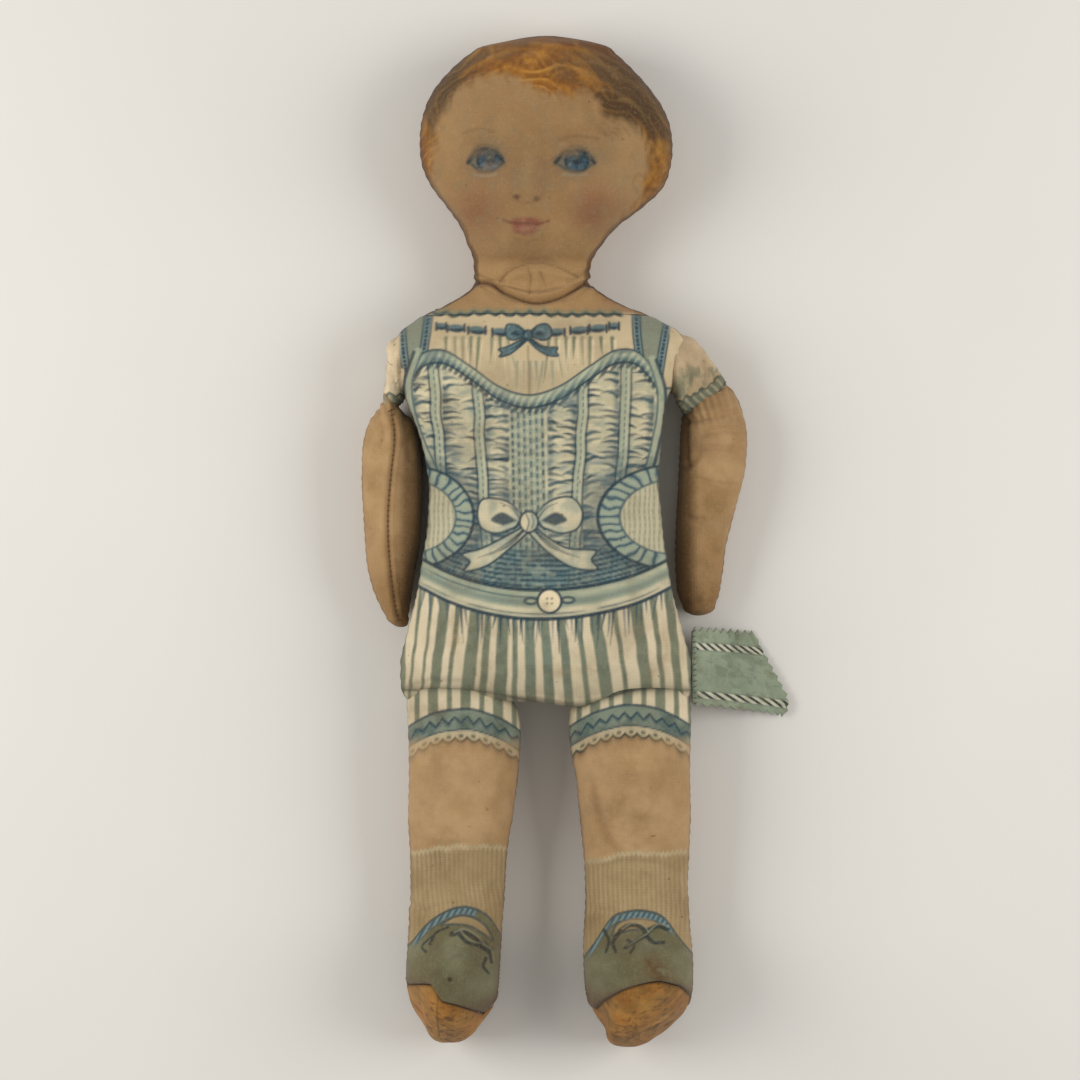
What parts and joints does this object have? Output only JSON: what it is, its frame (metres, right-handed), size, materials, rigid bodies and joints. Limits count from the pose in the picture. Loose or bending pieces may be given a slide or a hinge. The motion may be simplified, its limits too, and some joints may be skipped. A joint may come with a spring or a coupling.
{
  "type": "rag doll",
  "caption": "Printed cloth rag doll lying on its back, with stuffed head, torso, arms and legs that swing and a cloth label sewn in at one hip.",
  "frame": {"origin": "on the flat of the torso's back, under the waist, where the doll rests", "axes": "+Z is the doll's front, +Y toward its head, +X toward its own left hand"},
  "size_m": [0.2618, 0.6052, 0.0753],
  "materials": {
    "skin_cloth": "matt printed cotton, soiled",
    "printed_cloth": "matt cotton printed in blue and green on cream",
    "sleeve_cloth": "matt cream cotton",
    "sole_cloth": "matt tan cotton",
    "label_cloth": "pale green cotton with pinked edges",
    "stuffing": "packed cotton waste"
  },
  "bodies": {
    "torso": {"torso_front_cloth": "printed_cloth", "torso_back_cloth": "printed_cloth", "torso_stuffing": "stuffing"},
    "head": {"head_front_cloth": "skin_cloth", "head_back_cloth": "skin_cloth", "head_stuffing": "stuffing"},
    "left_sleeve": {"left_sleeve_front_cloth": "sleeve_cloth", "left_sleeve_back_cloth": "sleeve_cloth", "left_sleeve_stuffing": "stuffing"},
    "left_arm": {"left_arm_front_cloth": "skin_cloth", "left_arm_back_cloth": "skin_cloth", "left_arm_stuffing": "stuffing"},
    "right_sleeve": {"right_sleeve_front_cloth": "sleeve_cloth", "right_sleeve_back_cloth": "sleeve_cloth", "right_sleeve_stuffing": "stuffing"},
    "right_arm": {"right_arm_front_cloth": "skin_cloth", "right_arm_back_cloth": "skin_cloth", "right_arm_stuffing": "stuffing"},
    "left_leg": {"left_leg_front_cloth": "skin_cloth", "left_leg_back_cloth": "skin_cloth", "left_leg_stuffing": "stuffing", "left_sole": "sole_cloth"},
    "right_leg": {"right_leg_front_cloth": "skin_cloth", "right_leg_back_cloth": "skin_cloth", "right_leg_stuffing": "stuffing", "right_sole": "sole_cloth"},
    "label": {"hip_label": "label_cloth"}
  },
  "joints": [
    {"name": "neck_nod", "type": "hinge", "parent": "torso", "child": "head", "pos_m": [-0.0003, 0.1556, 0.0465], "axis": [1, 0, 0], "range_deg": [-10, 40]},
    {"name": "left_shoulder_swing", "type": "hinge", "parent": "torso", "child": "left_sleeve", "pos_m": [0.0786, 0.1032, 0.034], "axis": [-1, 0, 0], "range_deg": [-60, 120]},
    {"name": "left_arm_spread", "type": "hinge", "parent": "left_sleeve", "child": "left_arm", "pos_m": [0.10964, 0.09766, 0.015], "axis": [0, 0, 1], "range_deg": [0, 50]},
    {"name": "right_shoulder_swing", "type": "hinge", "parent": "torso", "child": "right_sleeve", "pos_m": [-0.0855, 0.1032, 0.034], "axis": [-1, 0, 0], "range_deg": [-60, 120]},
    {"name": "right_arm_spread", "type": "hinge", "parent": "right_sleeve", "child": "right_arm", "pos_m": [-0.09862, 0.08528, 0.023], "axis": [0, 0, -1], "range_deg": [0, 50]},
    {"name": "left_hip_fold", "type": "hinge", "parent": "torso", "child": "left_leg", "pos_m": [0.0508, -0.0891, 0.0545], "axis": [-1, 0, 0], "range_deg": [-8, 95]},
    {"name": "right_hip_fold", "type": "hinge", "parent": "torso", "child": "right_leg", "pos_m": [-0.0496, -0.0891, 0.0545], "axis": [-1, 0, 0], "range_deg": [-8, 95]},
    {"name": "label_lift", "type": "hinge", "parent": "torso", "child": "label", "pos_m": [0.0882, -0.0755, 0.034], "axis": [0, -1, 0], "range_deg": [0, 110]}
  ]
}
